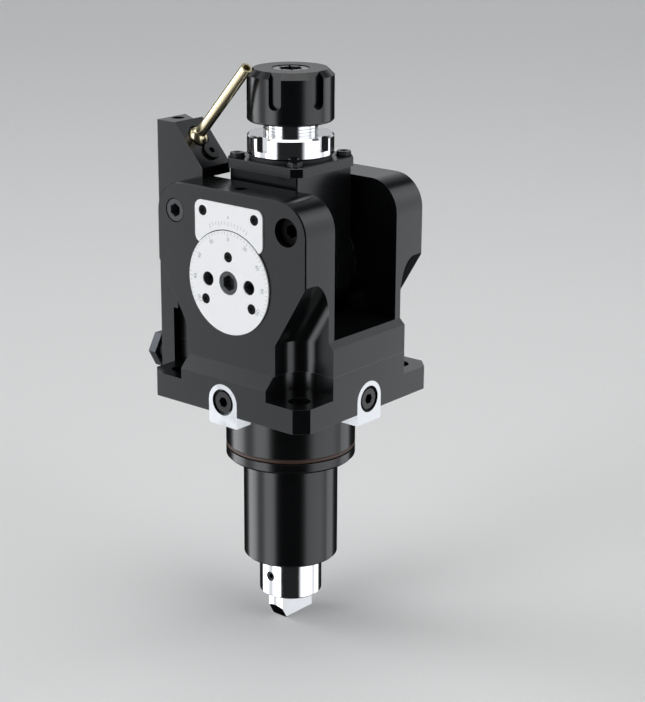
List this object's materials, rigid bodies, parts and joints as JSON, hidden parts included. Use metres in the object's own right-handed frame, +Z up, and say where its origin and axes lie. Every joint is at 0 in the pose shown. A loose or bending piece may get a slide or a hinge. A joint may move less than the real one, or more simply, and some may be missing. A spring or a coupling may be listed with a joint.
{
  "type": "driven tool holder",
  "caption": "Square-flanged driven tool holder with a swivelling spindle head set straight, collet nut, angle dial, side coolant bar with ball nozzle, and a tanged drive shaft.",
  "frame": {"origin": "centre of the flange underside, on the shaft axis, in the plane of the turret face", "axes": "+Z up along the shaft towards the tool, -Y towards the dial side, -X towards the coolant bar"},
  "size_m": [0.1184, 0.1, 0.2865],
  "materials": {
    "black_body": "black semi-gloss coated steel",
    "black_oxide": "black oxide hardened steel",
    "black_screws": "black oxide screw steel",
    "o_ring_rubber": "brown fluoro rubber, matte",
    "seal_rubber": "black seal rubber, matte",
    "ground_steel": "ground bright steel",
    "grey_steel": "dark zinc plated steel",
    "polished_steel": "polished hardened steel",
    "gear_steel": "case-hardened gear steel",
    "bearing_steel": "polished bearing steel",
    "white_plate": "satin white plated steel",
    "brass": "turned brass"
  },
  "bodies": {
    "housing": {"base_block": "black_body", "coolant_bar": "black_body", "coolant_bar_screws": "black_screws", "coolant_hex_plug": "grey_steel", "drive_bearing_outer_rings": "bearing_steel", "fork_housing": "black_body", "fork_screws": "black_screws", "gallery_plug": "black_screws", "index_plate": "white_plate", "index_plate_screws": "black_screws", "key_screws": "black_screws", "location_keys": "ground_steel", "nozzle_clamp_screw": "black_screws", "nozzle_socket": "black_oxide", "outer_bearing_spacer": "ground_steel", "shaft_seal": "seal_rubber", "shank_sleeve": "black_body", "sleeve_screws": "black_screws", "spigot_o_ring": "o_ring_rubber", "sunk_port_plug": "black_screws"},
    "drive": {"drive_shaft": "polished_steel", "drive_gear": "gear_steel", "shaft_set_screw": "black_screws", "shaft_locknut": "grey_steel", "drive_bearing_inner_rings": "bearing_steel", "inner_bearing_spacer": "ground_steel", "drive_bearing_balls": "bearing_steel"},
    "head": {"head_body": "black_body", "cover_plate": "black_body", "cover_screws": "black_screws", "spindle_seal": "seal_rubber", "front_trunnion": "ground_steel", "front_trunnion_screws": "black_screws", "rear_trunnion": "ground_steel", "rear_trunnion_screws": "black_screws", "dial_disc": "white_plate", "dial_screws": "black_screws", "dial_centre_screw": "black_screws", "rear_cap": "black_body", "rear_cap_screws": "black_screws", "transfer_bearing_outer_rings": "bearing_steel", "spindle_bearing_outer_rings": "bearing_steel", "spindle_outer_spacer": "ground_steel"},
    "transfer": {"transfer_gear": "gear_steel", "transfer_bearing_inner_rings": "bearing_steel", "transfer_circlip": "black_oxide", "transfer_bearing_balls": "bearing_steel"},
    "spindle": {"spindle": "polished_steel", "spindle_gear": "gear_steel", "spindle_locknut": "grey_steel", "spindle_bearing_inner_rings": "bearing_steel", "spindle_inner_spacer": "ground_steel", "spindle_bearing_balls": "bearing_steel"},
    "collet": {"collet": "polished_steel"},
    "nut": {"collet_nut": "black_oxide"},
    "nozzle": {"nozzle_ball": "brass", "nozzle_tube": "brass"}
  },
  "joints": [
    {"name": "drive_spin", "type": "hinge", "parent": "housing", "child": "drive", "pos_m": [0, 0, 0], "axis": [0, 0, 1], "continuous": true},
    {"name": "transfer_spin", "type": "hinge", "parent": "housing", "child": "transfer", "pos_m": [0, 0, 0.0643], "axis": [0, 1, 0], "continuous": true},
    {"name": "head_tilt", "type": "hinge", "parent": "housing", "child": "head", "pos_m": [0, 0, 0.0643], "axis": [0, 1, 0], "range_deg": [0, 90]},
    {"name": "spindle_spin", "type": "hinge", "parent": "head", "child": "spindle", "pos_m": [0, 0, 0.1], "axis": [0, 0, 1], "continuous": true},
    {"name": "collet_draw", "type": "slide", "parent": "spindle", "child": "collet", "axis": [0, 0, 1], "range_m": [0, 0.003]},
    {"name": "nut_turn", "type": "hinge", "parent": "collet", "child": "nut", "pos_m": [0, 0, 0.148], "axis": [0, 0, 1], "range_deg": [0, 720]},
    {"name": "nozzle_tilt", "type": "hinge", "parent": "housing", "child": "nozzle", "pos_m": [-0.04131, -0.02155, 0.12531], "axis": [0, 1, 0], "range_deg": [-20, 20]}
  ],
  "couplings": [
    {"joint": "transfer_spin", "follows": "drive_spin", "ratio": 1},
    {"joint": "spindle_spin", "follows": "drive_spin", "ratio": -1},
    {"joint": "nut_turn", "follows": "collet_draw", "rad_per_m": 4188.8}
  ]
}
